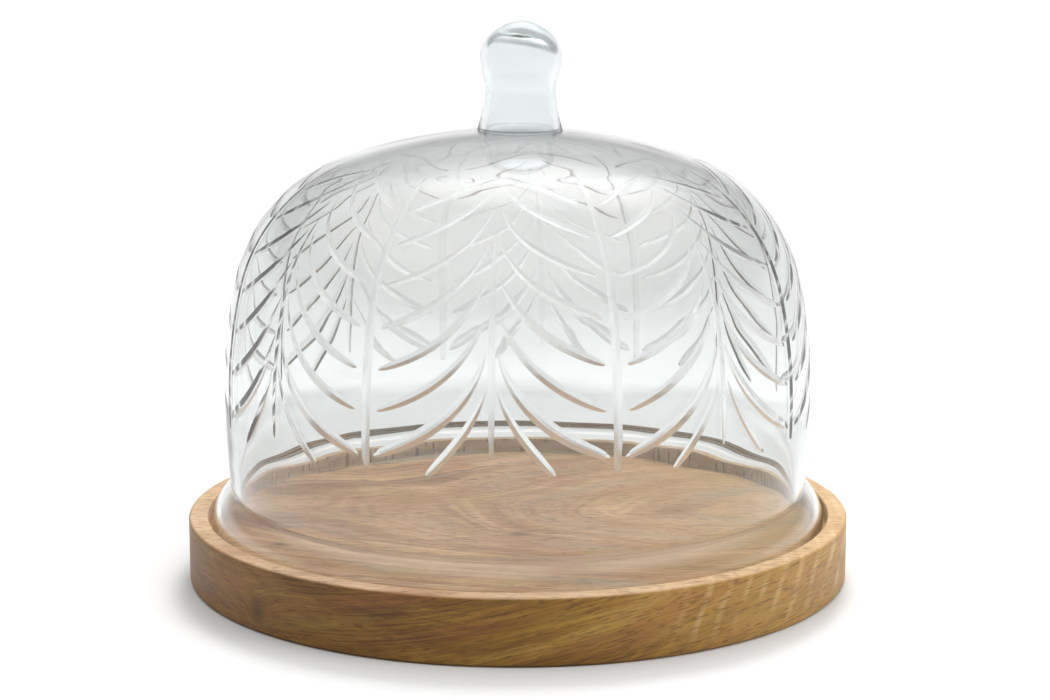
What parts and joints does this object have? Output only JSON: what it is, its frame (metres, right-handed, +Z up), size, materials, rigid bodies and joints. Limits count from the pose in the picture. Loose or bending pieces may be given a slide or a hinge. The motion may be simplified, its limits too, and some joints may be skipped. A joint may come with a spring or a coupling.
{
  "type": "bell jar dome",
  "caption": "Glass display dome with a flared foot, leaf-cut wall and waisted knob, standing on the sunk floor of a round wooden base.",
  "frame": {"origin": "centre of the flat underside of the wooden base", "axes": "+Z up along the axis of the dome, +X to the right and -Y towards the viewer; the wood grain runs along X"},
  "size_m": [0.33, 0.33, 0.275],
  "materials": {
    "wood": "oiled satin hardwood with a plain figured grain",
    "dome_glass": "clear polished glass with a faint grey-green tint",
    "knob_glass": "clear polished glass, hand finished"
  },
  "bodies": {
    "base": {"wooden_base": "wood"},
    "cloche": {"glass_cloche": "dome_glass", "glass_knob": "knob_glass"}
  },
  "joints": [
    {"name": "dome_lift", "type": "slide", "parent": "base", "child": "cloche", "axis": [0, 0, 1], "range_m": [0, 0.22]}
  ]
}
